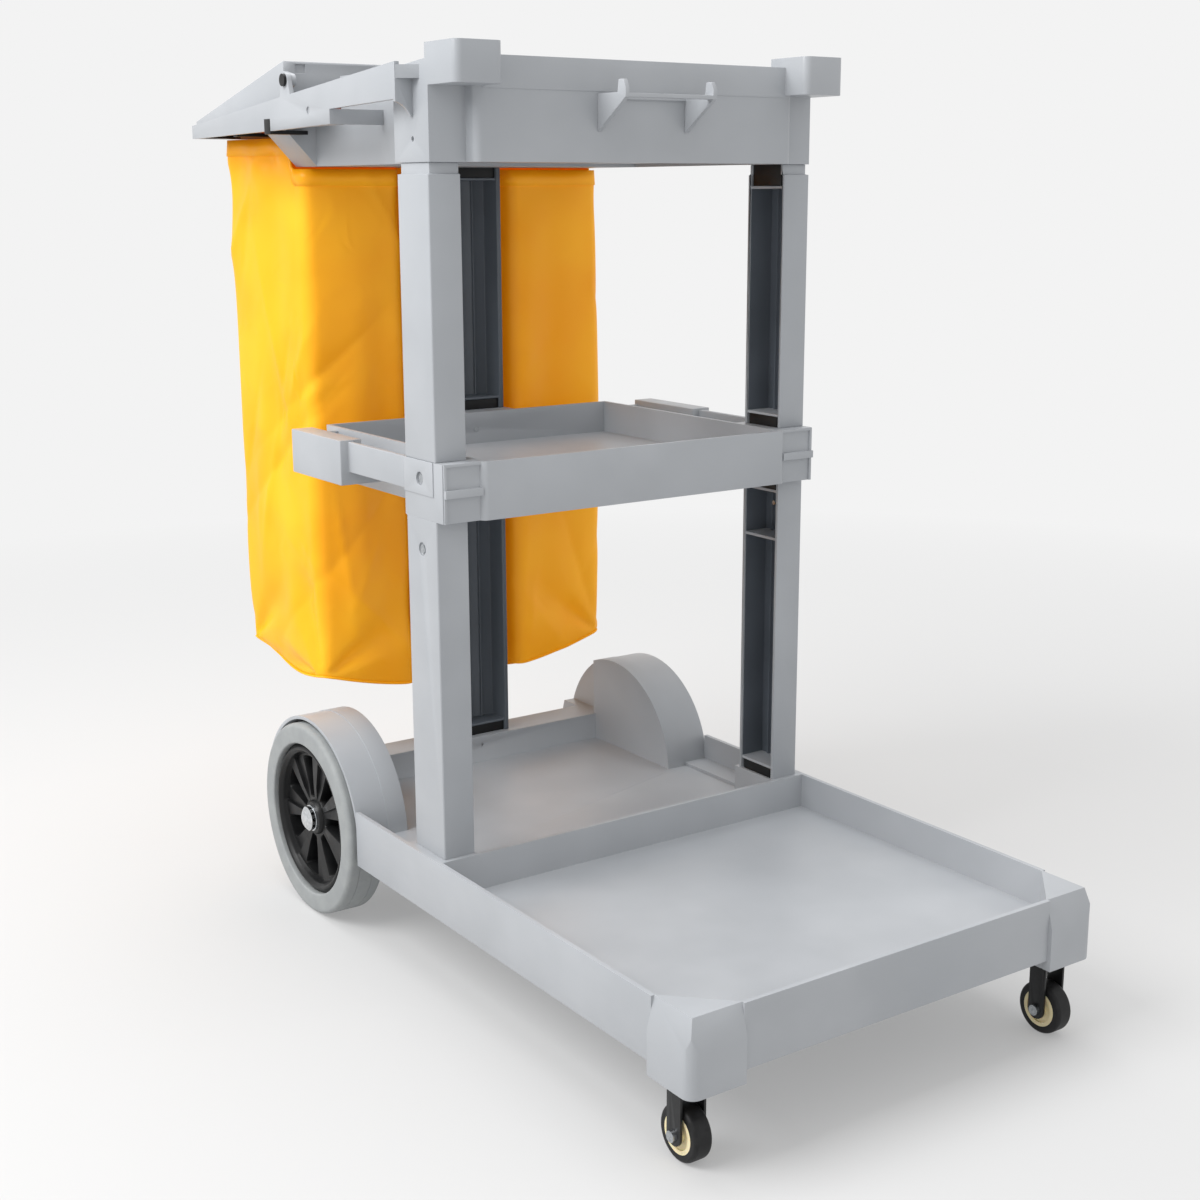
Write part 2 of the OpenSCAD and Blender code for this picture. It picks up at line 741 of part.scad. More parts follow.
// Tool rest beside the middle tray: an arm from the socket, ending in a wider block
rest_y0 = pedestal_back - 4;
rest_block = [140, 262];
rest_x = post_x + collar;
module tool_rest() {
  z0 = mid_top - 33;
  color(plastic) difference() {
    union() {
      box(rest_x - 6, rest_x, rest_y0, rest_block[0] + 2, z0, mid_top);
      box(rest_x - 16, rest_x + 10, rest_block[0], rest_block[1], mid_top - 47, mid_top + 2);
      // Webs to the tray wall
      box(tray_x, rest_x - 6, rest_block[0], rest_block[0] + 5, mid_top - 47, mid_top - 30);
      box(tray_x, rest_x - 6, rest_block[1] - 6, rest_block[1], mid_top - 47, mid_top - 4);
      box(tray_x, rest_x - 2, rest_y0, rest_y0 + 5, z0, mid_top);
    }
    // Finger groove under the block
    box(rest_x - 11, rest_x + 5, rest_block[0] + 8, rest_block[1] - 8, mid_top - 50, mid_top - 10);
  }
}
module tool_rest_right() tool_rest();
module tool_rest_left() mirror([1, 0, 0]) tool_rest();

// ---- top tray ----

band_h = 31;
cap_y = panel_y - 34.5;
cap_w = 53;
cap_h = 39;
cap_x = post_x - 1.5;
beam_end = 205;
module corner_cap() {
  translate([0, 0, cap_top - cap_h]) linear_extrude(cap_h) difference() {
    round_rect(cap_x - cap_w, cap_x, cap_y, post_y + 20, 8);
    translate([cap_x - cap_w - 1, post_y + 4]) square([cap_w + 2, 40]);
  }
}

// Top tray's side wall at the front upright, its top edge falling to the rear
module top_socket() {
  box(tray_x - 0.5, cap_x, post_y - 1, pedestal_back, top_z, cap_top - cap_h + 1);
  side_plate(tray_x - 0.5, cap_x, [[post_y - 1, cap_top - cap_h], [pedestal_back, cap_top - cap_h],
    [pedestal_back, arm_top(pedestal_back)], [post_y - 1, arm_top(post_y - 1)]]);
}

// Beam over the rear upright, with ends that slope out to the arms
beam_wall = 8;
module rear_beam() {
  y0 = mid_back - 2;
  y1 = rear_post_y + rear_post_d;
  cross_plate(y0, y1, [[-tray_x, top_z], [tray_x, top_z], [post_x - 1, top_z + 46],
    [post_x - 1, top_z + 56], [-post_x + 1, top_z + 56], [-post_x + 1, top_z + 46]]);
}

module top_tray() {
  pan_back = bin_back + tray_t;
  color(plastic) difference() {
    union() {
      tray_pan(top_z, top_rim - 6, top_depth - 6, pan_back);
      front_panel(top_z, top_rim, top_depth);
      // Proud band along the top of the front panel
      box(-tray_x + 6, tray_x - 6, panel_y - 0.8, panel_y + 1, top_rim - band_h, top_rim);
      mirror_x() {
        corner_cap();
        top_socket();
        box(tray_x - tray_t, tray_x, bin_back, mid_back, top_z, top_z + 60);
      }
      box(-tray_x, tray_x, bin_back, mid_back, top_z, top_z + tray_t);
      rear_beam();
    }
    // Hollow of the beam, open from below
    box(-tray_x + beam_wall, -rear_post_w / 2 - 6, mid_back + 2, rear_post_y + rear_post_d - 4, top_z - 1, top_z + 50);
    box(rear_post_w / 2 + 6, tray_x - beam_wall, mid_back + 2, rear_post_y + rear_post_d - 4, top_z - 1, top_z + 50);
    front_plug_places() plug_hole(top_z, 1);
    rear_plug_hole(top_z, 1);
    mirror_x() rod_x(tray_x - 1, cap_x + 1, screw_y, top_z + 22, screw_shank_d / 2);
  }
}

// Hook on the front panel: two gussets with upright fingers and a bar between them
hook_x = 57;
hook_out = 48;
hook_z = top_z + 65;
module hook_gusset() {
  y = panel_y;
  side_plate(hook_x - 5, hook_x, [[y, hook_z - 35], [y, hook_z + 2], [y - hook_out + 14, hook_z + 2],
    [y - hook_out + 12, hook_z + 14], [y - hook_out + 4, hook_z + 14], [y - hook_out, hook_z + 6], [y - hook_out, hook_z - 3]]);
}
module front_hook() {
  y = panel_y;
  color(plastic) {
    mirror_x() hook_gusset();
    box(-hook_x, hook_x, y - hook_out, y - hook_out + 9, hook_z - 3, hook_z + 1);
    box(-hook_x, hook_x, y - 3, y, hook_z - 3, hook_z + 1);
  }
}

// ---- bag arms and rail ----

arm_y0 = -20;
web_y = 122;
notch_y = 268;
notch_w = 16;
bend_y = 370;
flare_y = 14;
arm_low = top_z + 37;
arm_points = [[arm_y0, arm_low + 22], [arm_y0, arm_low + 41], [arm_y0, arm_top(arm_y0)],
  [hinge_y - 30, arm_top(hinge_y - 30)], [bend_y, arm_top(bend_y)], [nose_y, arm_low + 12], [nose_y, arm_low - 3],
  [notch_y + notch_w, arm_low], [notch_y + notch_w, arm_low + 13], [notch_y, arm_low + 13], [notch_y, arm_low],
  [web_y, arm_low + 3], [web_y, arm_low + 18]];
ear_r = 8;
hinge_z = arm_top(hinge_y) + 16;

module bag_arm() {
  color(plastic) difference() {
    union() {
      side_plate(arm_x - arm_t, arm_x, arm_points);
      // Filling between the arm and the tray's corner
      translate([0, 0, arm_low + 41]) linear_extrude(arm_top(arm_y0) - arm_low - 44) polygon([[cap_x, arm_y0 - 14],
        [arm_x, arm_y0 + 0.5], [arm_x, arm_y0 + 14], [cap_x, arm_y0 + 14]]);
      // Curved gusset under it
      translate([0, arm_y0 + 4, 0]) rotate([90, 0, 0]) linear_extrude(4) difference() {
        translate([cap_x, arm_low + 6]) square([arm_x - cap_x, 38]);
        translate([arm_x + 4, arm_low - 2]) circle(22);
      }
      // Web to the pan and the floor strip behind it
      box(tray_x, arm_x - arm_t + 0.5, web_y, web_y + 4, arm_low + 3, arm_low + 18);
      box(arm_x - 16, arm_x - 1, web_y + 1, notch_y - 4, arm_low + 2.6, arm_low + 6);
      // Hinge ear
      rod_x(arm_x - arm_t, arm_x, hinge_y, hinge_z, ear_r);
      side_plate(arm_x - arm_t, arm_x, [[hinge_y - 14, arm_top(hinge_y) - 4], [hinge_y - ear_r, hinge_z],
        [hinge_y + ear_r, hinge_z], [hinge_y + 14, arm_top(hinge_y) - 4]]);
      // Seat on the rear beam
      box(post_x - 1, arm_x - arm_t + 0.5, mid_back - 2, rear_post_y + rear_post_d, top_z + 47, top_z + 56);
    }
    rod_x(arm_x - arm_t - 1, arm_x + 1, hinge_y, hinge_z, hinge_d / 2);
    // Small peg seat on the outside
    rod_x(arm_x - 1.5, arm_x + 1, 172, arm_top(172) - 22, 4);
  }
}
module bag_arm_right() bag_arm();
module bag_arm_left() mirror([1, 0, 0]) bag_arm();

// Rail between the tips of the arms
rail_x = arm_x - arm_t;
module bag_rail_rear() {
  color(plastic) {
    box(-rail_x, rail_x, nose_y - 8, nose_y, arm_low - 3, arm_low + 8);
    box(-rail_x, rail_x, nose_y - 20, nose_y - 7, arm_low + 5, arm_low + 8);
  }
}

// ---- lid ----

lid_x = arm_x - arm_t - side_gap;
lid_top_z = cap_top - 1;
lid_back = nose_y - 1;
lid_back_z = arm_low + 17;
function lid_z(y) = lid_top_z + (lid_back_z - lid_top_z) * (y - lid_front) / (lid_back - lid_front);

lug_r = 7;
lug_t = 6;
module bag_lid() {
  outline = [[lid_front, lid_top_z], [lid_back, lid_back_z], [lid_back, arm_low + 8 + side_gap],
    [lid_front + 14, arm_top(lid_front) - 2], [lid_front, arm_top(lid_front) + 2]];
  inner = [[lid_front + lid_t, lid_z(lid_front) - lid_t], [lid_back - lid_t, lid_z(lid_back) - lid_t],
    [lid_back - lid_t, 0], [lid_front + lid_t, 0]];
  color(plastic) difference() {
    union() {
      difference() {
        side_plate(-lid_x, lid_x, outline);
        side_plate(-lid_x + lid_t, lid_x - lid_t, inner);
      }
      // Lugs that reach forward to the pins
      mirror_x() {
        rod_x(lid_x - lug_t, lid_x, hinge_y, hinge_z, lug_r);
        side_plate(lid_x - lug_t, lid_x, [[hinge_y, hinge_z - lug_r], [lid_front + 1, hinge_z - lug_r - 3],
          [lid_front + 1, hinge_z + lug_r + 3], [hinge_y, hinge_z + lug_r]]);
      }
    }
    rod_x(-lid_x - 1, lid_x + 1, hinge_y, hinge_z, hinge_d / 2 + run_gap);
    // Finger notch in the middle of the back edge
    box(-45, 45, lid_back - lid_t - 1, lid_back + 1, 0, lid_back_z - 6);
    // Latch pockets at both ends of the front wall
    mirror_x() box(lid_x - 26, lid_x - 14, lid_front - 1, lid_front + 2, lid_top_z - 12, lid_top_z - 3);
  }
}

module lid_hinge_pins() {
  color(steel) mirror_x() rod_x(lid_x - lug_t - 1, arm_x + 1, hinge_y, hinge_z, hinge_d / 2);
}

// Black caps over the ends of the hinge pins
module lid_hinge_caps() {
  color(black) mirror_x() difference() {
    rod_x(arm_x, arm_x + 3, hinge_y, hinge_z, 6.5);
    rod_x(arm_x - 1, arm_x + 1, hinge_y, hinge_z, hinge_d / 2);
  }
}

// ---- bag ----

bag_top = arm_low - 3.5;
bag_front = rear_post_y + rear_post_d + 4;
bag_wing = bag_front - 26;
bag_back = nose_y - 10;
bag_gap = 1.5;
bag_front_x = tray_x - beam_wall - bag_gap;
bag_turn_y = rear_post_y + rear_post_d + bag_gap;
bag_back_x = 224;
dent_x = rear_post_w / 2 + 8;

module bag_outline(inset = 0) {
  i = inset;
  polygon([[-bag_front_x + i, bag_wing + i], [-dent_x - 14 + i, bag_wing + i], [-dent_x + i, bag_front + i],
    [dent_x - i, bag_front + i], [dent_x + 14 - i, bag_wing + i], [bag_front_x - i, bag_wing + i],
    [bag_front_x - i, bag_turn_y], [bag_back_x - i, bag_back - i], [-bag_back_x + i, bag_back - i],
    [-bag_front_x + i, bag_turn_y]]);
}

module waste_bag() {
  color("#f4b71e") difference() {
    translate([0, 0, bag_z]) linear_extrude(bag_top - bag_z) bag_outline();
    translate([0, 0, bag_z + bag_t]) linear_extrude(bag_top) bag_outline(bag_t);
    // The bottom rises towards the corners
    mirror_x() side_to_corner();
    // The front of the hem hangs below the beam
    box(-bag_back_x, bag_back_x, bag_wing - 1, bag_turn_y, top_z - bag_gap, bag_top + 1);
  }
}

// Wedge cut away below the bag's side
module side_to_corner() {
  rise = 34;
  cross_plate(bag_wing - 1, bag_back + 1, [[bag_front_x - 110, bag_z - 1], [bag_back_x + 1, bag_z - 1],
    [bag_back_x + 1, bag_z + rise], [bag_front_x - 110, bag_z]]);
}

// Black clips under the arms that hold the bag's hem
clip_w = 11;
bag_hook_x0 = 214;
module clip(y, w, x1, top) {
  difference() {
    box(bag_hook_x0, x1, y, y + w, arm_low - 3.2, top);
    box(bag_hook_x0 - 1, rail_x - 4, y - 1, y + w + 1, arm_low + 1, top + 1);
  }
}
module bag_hooks() {
  color(black) mirror_x() {
    // The first clip sits in the arm's notch
    clip(notch_y, notch_w, arm_x, arm_low + 13);
    for (y = [bend_y, nose_y - 38]) clip(y, clip_w, rail_x, arm_low + 8);
  }
}

base_platform();
rear_axle();
axle_caps();
axle_washers();
wheel_hub_left();
wheel_hub_right();
wheel_tyre_left();
wheel_tyre_right();
castor_plate_left();
castor_plate_right();
castor_kingpin_left();
castor_kingpin_right();
castor_fork_left();
castor_fork_right();
castor_bolt_left();
castor_bolt_right();
castor_hub_left();
castor_hub_right();
castor_tyre_left();
castor_tyre_right();
castor_screws();
lower_post_left();
lower_post_right();
lower_post_rear();
upper_post_left();
upper_post_right();
upper_post_rear();
plugs_base();
plugs_mid_low();
plugs_mid_high();
plugs_top();
post_screws();
middle_tray();
tool_rest_left();
tool_rest_right();
top_tray();
front_hook();
bag_arm_left();
bag_arm_right();
bag_rail_rear();
bag_lid();
lid_hinge_pins();
lid_hinge_caps();
bag_hooks();
waste_bag();
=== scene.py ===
import json
import math

import bmesh
import bpy
import numpy as np
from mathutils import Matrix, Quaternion, Vector


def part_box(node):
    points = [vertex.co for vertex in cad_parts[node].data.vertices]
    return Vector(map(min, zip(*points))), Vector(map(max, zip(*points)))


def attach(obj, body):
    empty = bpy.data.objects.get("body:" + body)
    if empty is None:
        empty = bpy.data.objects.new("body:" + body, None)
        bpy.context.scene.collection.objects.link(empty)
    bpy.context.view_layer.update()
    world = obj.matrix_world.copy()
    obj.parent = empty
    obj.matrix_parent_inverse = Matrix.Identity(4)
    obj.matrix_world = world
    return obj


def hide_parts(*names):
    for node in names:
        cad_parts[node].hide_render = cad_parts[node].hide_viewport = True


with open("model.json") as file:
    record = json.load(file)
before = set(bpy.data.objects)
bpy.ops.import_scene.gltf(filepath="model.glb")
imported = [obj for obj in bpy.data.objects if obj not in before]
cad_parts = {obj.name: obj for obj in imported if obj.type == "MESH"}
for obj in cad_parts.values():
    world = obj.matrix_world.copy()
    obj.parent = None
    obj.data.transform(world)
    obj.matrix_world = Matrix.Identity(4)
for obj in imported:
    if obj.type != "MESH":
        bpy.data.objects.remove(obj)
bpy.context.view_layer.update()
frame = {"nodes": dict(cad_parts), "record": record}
nodes = frame["nodes"]
rng = np.random.default_rng(7)
mm = 0.001
print("frame loaded:", len(nodes), "nodes")

# small tools

def fromHex(colour):
    # an sRGB hex colour turned to linear light
    c = np.array([int(colour[i:i + 2], 16) for i in (1, 3, 5)]) / 255
    c = np.where(c <= 0.04045, c / 12.92, ((c + 0.055) / 1.055) ** 2.4)
    return (*c.tolist(), 1.0)


def addNode(tree, kind, links=None, **settings):
    # adds one node; settings are attributes or, where the name is a socket, its value
    node = tree.nodes.new(kind)
    for key, value in settings.items():
        if hasattr(node, key):
            setattr(node, key, value)
        else:
            node.inputs[key.replace("_", " ")].default_value = value
    for key, source in (links or {}).items():
        tree.links.new(source, node.inputs[key])
    return node


def newMaterial(name):
    mat = bpy.data.materials.new(name)
    mat.use_nodes = True
    tree = mat.node_tree
    tree.nodes.clear()
    out = addNode(tree, "ShaderNodeOutputMaterial")
    place = addNode(tree, "ShaderNodeTexCoord").outputs["Object"]
    return mat, tree, out, place


def mixColour(tree, factor, a, b):
    # a and b are hex colours or sockets
    node = addNode(tree, "ShaderNodeMix", data_type="RGBA")
    tree.links.new(factor, node.inputs[0])
    for value, socket in ((a, node.inputs[6]), (b, node.inputs[7])):
        if isinstance(value, str):
            socket.default_value = fromHex(value)
        else:
            tree.links.new(value, socket)
    return node.outputs[2]


def remap(tree, value, low, high, to0, to1):
    return addNode(tree, "ShaderNodeMapRange", {"Value": value}, From_Min=low, From_Max=high,
                   To_Min=to0, To_Max=to1).outputs["Result"]


def noise(tree, place, sizeMm, detail=3.0, rough=0.5, stretch=(1, 1, 1)):
    # a noise whose blobs are about sizeMm across
    if stretch != (1, 1, 1):
        place = addNode(tree, "ShaderNodeMapping", {"Vector": place}, Scale=stretch).outputs[0]
    return addNode(tree, "ShaderNodeTexNoise", {"Vector": place}, Scale=1000 / sizeMm, Detail=detail,
                   Roughness=rough).outputs["Fac"]


def finishShader(mat, tree, out, colour, roughness, height=None, bump=0.0, distance=0.0002, **fixed):
    # joins colour, roughness and relief to one principled shader
    links = {"Base Color": colour} if not isinstance(colour, str) else {}
    if not isinstance(roughness, (int, float)):
        links["Roughness"] = roughness
    if height is not None:
        links["Normal"] = addNode(tree, "ShaderNodeBump", {"Height": height}, Strength=bump,
                                  Distance=distance).outputs["Normal"]
    shader = addNode(tree, "ShaderNodeBsdfPrincipled", links)
    if isinstance(colour, str):
        shader.inputs["Base Color"].default_value = fromHex(colour)
    if isinstance(roughness, (int, float)):
        shader.inputs["Roughness"].default_value = roughness
    for key, value in fixed.items():
        shader.inputs[key.replace("_", " ")].default_value = value
    tree.links.new(shader.outputs[0], out.inputs["Surface"])
    return mat


# materials

plasticLook = {"base": "#a0a3a7", "pale": "#a6a9ad", "deep": "#999da2", "grainMm": 1.6, "mottleMm": 90,
               "flowMm": 260, "rough": (0.31, 0.43)}
# a darker copy of the grey plastic for the rear uprights and the channel strips: painted shade, standing in
# for the shade these sit in
shadeGreyLook = {**plasticLook, "base": "#585e65", "pale": "#626870", "deep": "#4f555b"}


def mouldedPolypropylene(name="moulded polypropylene", look=plasticLook):
    # polypropylene from a spark-eroded mould: satin, with a fine even grain and slow drifts in tone
    # from the melt's flow
    mat, tree, out, place = newMaterial(name)
    mottle = noise(tree, place, look["mottleMm"], 2.0)
    flow = noise(tree, place, look["flowMm"], 1.0, 0.4, (1, 1, 0.35))
    tone = mixColour(tree, remap(tree, mottle, 0.35, 0.65, 0, 1), look["base"], look["pale"])
    tone = mixColour(tree, remap(tree, flow, 0.45, 0.7, 0, 0.5), tone, look["deep"])
    # the real grain is 0.3 mm, drawn coarser so that it shows
    grain = noise(tree, place, look["grainMm"], 2.0, 0.6)
    scuffs = noise(tree, place, 28, 4.0, 0.62, (0.25, 0.25, 1))
    rough = remap(tree, scuffs, 0.35, 0.7, *look["rough"])
    return finishShader(mat, tree, out, tone, rough, grain, 0.16, 0.00025, IOR=1.49)


def mouldedNylon():
    # black glass-filled nylon: dark, slightly cloudy, with a soft sheen from the mould
    mat, tree, out, place = newMaterial("moulded black nylon")
    cloud = noise(tree, place, 14, 3.0)
    tone = mixColour(tree, cloud, "#0c0c0d", "#191a1b")
    grain = noise(tree, place, 1.2, 2.0)
    rough = remap(tree, cloud, 0.3, 0.7, 0.32, 0.46)
    return finishShader(mat, tree, out, tone, rough, grain, 0.12, 0.0002, IOR=1.53, Specular_IOR_Level=0.26)


def treadRubber(name, dark, pale, rough, dustMm):
    # moulded thermoplastic rubber: dull, with dust rubbed into the face that rolls
    mat, tree, out, place = newMaterial(name)
    dust = noise(tree, place, dustMm, 4.0, 0.6)
    tone = mixColour(tree, remap(tree, dust, 0.4, 0.65, 0, 1), dark, pale)
    grain = noise(tree, place, 1.1, 3.0)
    dull = remap(tree, dust, 0.3, 0.7, rough, rough + 0.14)
    return finishShader(mat, tree, out, tone, dull, grain, 0.25, 0.0003, IOR=1.52, Specular_IOR_Level=0.3)


def coatedSteel():
    # pressed steel under black powder coat: an orange-peel ripple of about 2 mm
    mat, tree, out, place = newMaterial("black powder-coated steel")
    peel = noise(tree, place, 2.2, 1.0)
    tone = mixColour(tree, noise(tree, place, 9, 3.0), "#131314", "#222324")
    return finishShader(mat, tree, out, tone, 0.34, peel, 0.2, 0.0003, Specular_IOR_Level=0.3,
                        Coat_Weight=0.12, Coat_Roughness=0.2)


def platedSteel(name, tint, shade, rough, streakMm):
    # bright plated steel: fine turning marks round the axis and a slightly uneven tone
    mat, tree, out, place = newMaterial(name)
    marks = noise(tree, place, streakMm, 3.0, 0.6, (6, 1, 1))
    tone = mixColour(tree, remap(tree, marks, 0.3, 0.7, 0, 1), tint, shade)
    worn = remap(tree, marks, 0.3, 0.7, rough, rough + 0.12)
    return finishShader(mat, tree, out, tone, worn, marks, 0.06, 0.0001, Metallic=1.0)


def castNylon():
    # cream cast nylon of the small wheels' hubs: waxy, a little light goes in
    mat, tree, out, place = newMaterial("cream cast nylon")
    tone = mixColour(tree, noise(tree, place, 8, 3.0), "#e9ddb9", "#d8c795")
    return finishShader(mat, tree, out, tone, 0.38, noise(tree, place, 1.0), 0.1, 0.0002,
                        Subsurface_Weight=0.12, Subsurface_Scale=0.002)


# the last bag colour is a painted glow, standing in for daylight coming through the cloth
bagLook = {"base": "#f9b30e", "bright": "#ffc420", "deep": "#e09306", "paintedGlow": "#ff8a00",
           "coatGrainMm": 2.2, "creaseMm": 55, "threadMm": 3.0}


def coatedVinyl():
    # yellow vinyl on a woven polyester base: smooth and a bit glossy, crossed by small creases, with the
    # weave just telling through
    look = bagLook
    mat, tree, out, place = newMaterial("yellow coated vinyl fabric")
    uv = addNode(tree, "ShaderNodeUVMap", uv_map="cloth").outputs[0]
    drift = noise(tree, place, 130, 2.0)
    tone = mixColour(tree, remap(tree, drift, 0.35, 0.65, 0, 1), look["base"], look["bright"])
    crease = addNode(tree, "ShaderNodeTexNoise", {"Vector": place}, Scale=1000 / look["creaseMm"], Detail=3.0,
                     Roughness=0.55, Distortion=1.4, noise_type="RIDGED_MULTIFRACTAL").outputs["Fac"]
    # painted shade in the creases: the tone darkens towards the deep colour along the crease lines
    tone = mixColour(tree, remap(tree, crease, 0.9, 1.9, 0, 0.35), tone, look["deep"])
    # warp and weft: two sine waves multiplied, one thread every few millimetres, drawn coarse so that
    # it shows
    split = addNode(tree, "ShaderNodeSeparateXYZ", {"Vector": uv})
    waves = []
    for axis in split.outputs[:2]:
        turns = addNode(tree, "ShaderNodeMath", {0: axis}, operation="MULTIPLY")
        turns.inputs[1].default_value = 2 * math.pi * 1000 / look["threadMm"]
        waves.append(addNode(tree, "ShaderNodeMath", {0: turns.outputs[0]}, operation="SINE").outputs[0])
    weave = addNode(tree, "ShaderNodeMath", {0: waves[0], 1: waves[1]}, operation="MULTIPLY")
    grain = noise(tree, place, look["coatGrainMm"], 2.0)
    relief = addNode(tree, "ShaderNodeMath", {0: weave.outputs[0], 1: grain}, operation="ADD").outputs[0]
    small = addNode(tree, "ShaderNodeBump", {"Height": relief}, Strength=0.06, Distance=0.0002)
    folds = addNode(tree, "ShaderNodeBump", {"Height": crease, "Normal": small.outputs["Normal"]},
                    Strength=0.45, Distance=0.0024)
    shader = addNode(tree, "ShaderNodeBsdfPrincipled", {"Base Color": tone, "Normal": folds.outputs["Normal"],
                                                      "Roughness": remap(tree, drift, 0.3, 0.7, 0.34, 0.48)})
    shader.inputs["IOR"].default_value = 1.52
    shader.inputs["Specular IOR Level"].default_value = 0.32
    # painted glow: a warm orange emission on the cloth that stands in for daylight passing through the thin
    # cloth from behind, warmer than the cloth itself
    shader.inputs["Emission Color"].default_value = fromHex(look["paintedGlow"])
    shader.inputs["Emission Strength"].default_value = 0.12
    # the thin cloth lets some light through
    glow = addNode(tree, "ShaderNodeBsdfTranslucent", {"Color": tone})
    both = addNode(tree, "ShaderNodeMixShader", {1: shader.outputs[0], 2: glow.outputs[0]})
    both.inputs[0].default_value = 0.16
    tree.links.new(both.outputs[0], out.inputs["Surface"])
    return mat


materials = {
    "grey_plastic": mouldedPolypropylene(),
    "black_plastic": mouldedNylon(),
    # the charcoal slot gets the darker copy of the grey plastic: painted shade on the rear uprights
    "charcoal_plastic": mouldedPolypropylene("painted shade grey polypropylene", shadeGreyLook),
    "grey_rubber": treadRubber("grey tread rubber", "#8d9091", "#969999", 0.54, 22),
    "black_rubber": treadRubber("black tread rubber", "#101011", "#1e1e1f", 0.42, 10),
    "black_steel": coatedSteel(),
    "zinc_steel": platedSteel("zinc-plated steel", "#c9cccf", "#9da2a6", 0.24, 3.0),
    "chrome": platedSteel("chrome-plated steel", "#dfe1e3", "#c2c5c8", 0.08, 5.0),
    "brass": platedSteel("brass-plated steel", "#cfab58", "#a9843a", 0.24, 2.5),
    "cream_nylon": castNylon(),
    "yellow_vinyl": coatedVinyl(),
}
slotOf = {s["node"]: s["material_slot"] for s in frame["record"]["subparts"]}
bodyOf = {n: b for b, ns in frame["record"]["behaviour"]["bodies"].items() for n in ns}
for name, node in nodes.items():
    node.data.materials.clear()
    node.data.materials.append(materials[slotOf[name]])
print("materials ready:", len(materials))

# mesh tools

def meshPiece(name, points, faces, slot, body, replaced=(), smooth=True):
    mesh = bpy.data.meshes.new(name)
    mesh.from_pydata(np.asarray(points, float).reshape(-1, 3).tolist(), [], np.asarray(faces).tolist())
    mesh.validate()
    piece = bpy.data.objects.new(name, mesh)
    bpy.context.scene.collection.objects.link(piece)
    mesh.materials.append(materials[slot])
    mesh.shade_smooth() if smooth else mesh.shade_flat()
    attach(piece, body)
    if replaced:
        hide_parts(*replaced)
    return piece


def gridFaces(rows, cols, closed=True):
    # quads of a rows by cols grid whose columns close on themselves if closed
    r, c = np.meshgrid(np.arange(rows - 1), np.arange(cols if closed else cols - 1), indexing="ij")
    n = (c + 1) % cols
    return np.stack([r * cols + c, r * cols + n, (r + 1) * cols + n, (r + 1) * cols + c], -1).reshape(-1, 4)


def useModifier(piece, kind, **settings):
    modifier = piece.modifiers.new(kind.lower(), kind)
    for key, value in settings.items():
        setattr(modifier, key, value)


def applyModifiers(piece):
    bpy.context.view_layer.update()
    depsgraph = bpy.context.evaluated_depsgraph_get()
    fresh = bpy.data.meshes.new_from_object(piece.evaluated_get(depsgraph), depsgraph=depsgraph)
    piece.modifiers.clear()
    piece.data = fresh


def softened(node, radiusMm, segments=3, angle=28):
    # the node's own shape with its flat triangles joined and every sharp edge rounded, as a mould leaves it
    mesh = nodes[node].data.copy()
    shape = bmesh.new()
    shape.from_mesh(mesh)
    bmesh.ops.remove_doubles(shape, verts=shape.verts, dist=2e-6)
    bmesh.ops.dissolve_limit(shape, angle_limit=math.radians(0.6), verts=shape.verts, edges=shape.edges)
    shape.to_mesh(mesh)
    shape.free()
    piece = bpy.data.objects.new(node + "_moulded", mesh)
    bpy.context.scene.collection.objects.link(piece)
    useModifier(piece, "BEVEL", width=radiusMm * mm, segments=segments, limit_method="ANGLE",
                angle_limit=math.radians(angle), use_clamp_overlap=True, harden_normals=False)
    applyModifiers(piece)
    piece.data.shade_smooth()
    piece.data.set_sharp_from_angle(angle=math.radians(35))
    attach(piece, bodyOf[node])
    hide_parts(node)
    return piece


# rounded mouldings

edgeRadius = {"base_platform": 2.6, "middle_tray": 1.6, "top_tray": 2.0, "bag_lid": 1.3, "front_hook": 1.0,
              "bag_rail_rear": 1.2, "bag_hooks": 0.7}
for side in ("left", "right"):
    edgeRadius.update({"tool_rest_" + side: 1.4, "bag_arm_" + side: 1.0, "lower_post_" + side: 1.0,
                       "upper_post_" + side: 1.0, "castor_plate_" + side: 0.6, "castor_fork_" + side: 0.5})
edgeRadius.update({"lower_post_rear": 1.0, "upper_post_rear": 1.0, "plugs_base": 0.8, "plugs_mid_low": 0.8,
                   "plugs_mid_high": 0.8, "plugs_top": 0.8})
for node, radius in edgeRadius.items():
    softened(node, radius)
for name, node in nodes.items():
    if name not in edgeRadius:
        node.data.shade_smooth()
        node.data.set_sharp_from_angle(angle=math.radians(30))
print("mouldings rounded:", len(edgeRadius))

# waste bag

bagShape = {"top": 0.9015, "underBeam": 0.8665, "hem": 0.016, "frontEdge": 0.268, "rearEdge": 0.291,
            "sag": 0.034, "frontLeft": 0.199, "frontRight": 0.207, "rearHalf": 0.2235, "front": 0.317,
            "behindPost": 0.3445, "postHalf": 0.064, "postTurn": 0.016, "nearest": 0.3415, "rear": 0.4795,
            "belly": 0.003, "flare": 0.006, "dip": 0.030, "creases": 56, "columns": 288, "wallRows": 132,
            "bottomRows": 34, "weltRadius": 0.0013, "thickness": 0.0009, "hemGap": 0.0001, "hemOut": 0.0013,
            "cornerRadii": (0.012, 0.009, 0.009, 0.012, 0.014, 0.010, 0.010, 0.014),
            "clips": ((0.219, 0.378), (0.217, 0.452), (-0.219, 0.378), (-0.217, 0.452), (0.199, 0.335),
                      (-0.199, 0.335)),
            "waves": ((5, 0.0030, 0.5), (9, 0.0024, 1.1), (14, 0.0016, 0.8), (23, 0.0009, 2.0)),
            "cornerFold": 0.021, "clipFold": 0.0045, "pucker": 0.0022, "largestMove": 0.012}


